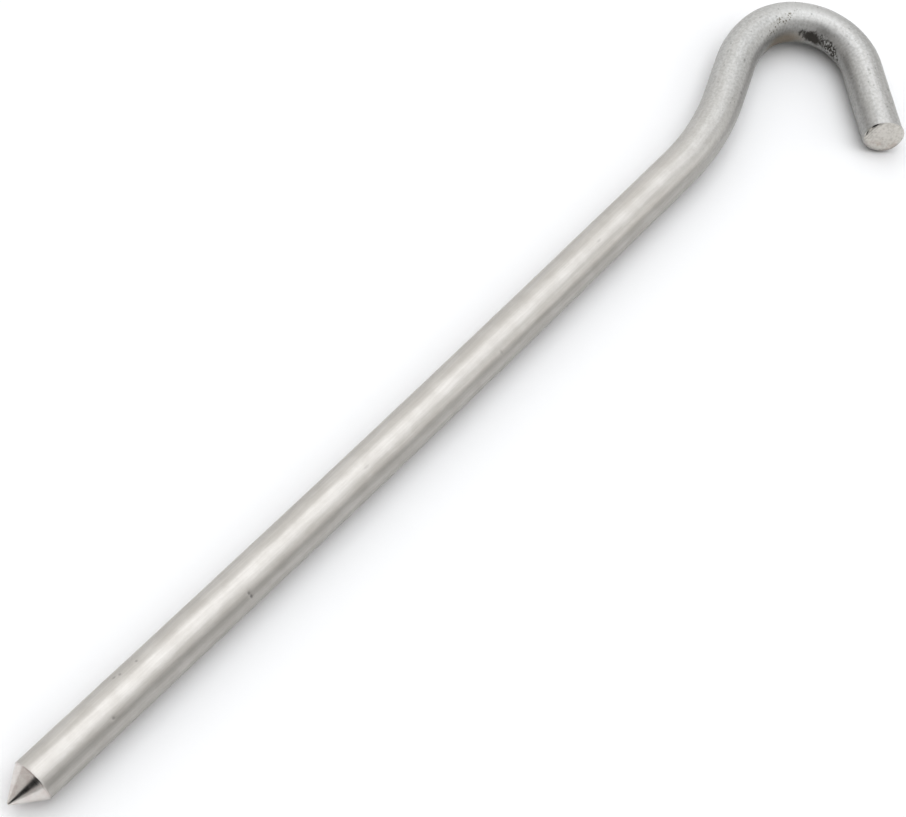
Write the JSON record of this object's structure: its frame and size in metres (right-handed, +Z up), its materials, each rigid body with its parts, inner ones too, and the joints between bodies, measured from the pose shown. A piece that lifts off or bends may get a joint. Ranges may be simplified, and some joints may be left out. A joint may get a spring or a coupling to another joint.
{
  "type": "tent stake",
  "caption": "Solid round-bar tent stake with a turned cone point, a long straight shank and a hook curled over to one side.",
  "frame": {"origin": "under the middle of the stake as it lies flat, on the surface it lies on", "axes": "+Y along the straight shank from the point to the hook, +X to the side the hook curls over to, +Z up, square to the plane of the hook"},
  "size_m": [0.0314, 0.181, 0.0063],
  "materials": {
    "satin_aluminium": "satin, tumbled bar with a bright turned point and a rough sheared end"
  },
  "bodies": {
    "root": {"stake": "satin_aluminium"}
  },
  "joints": []
}
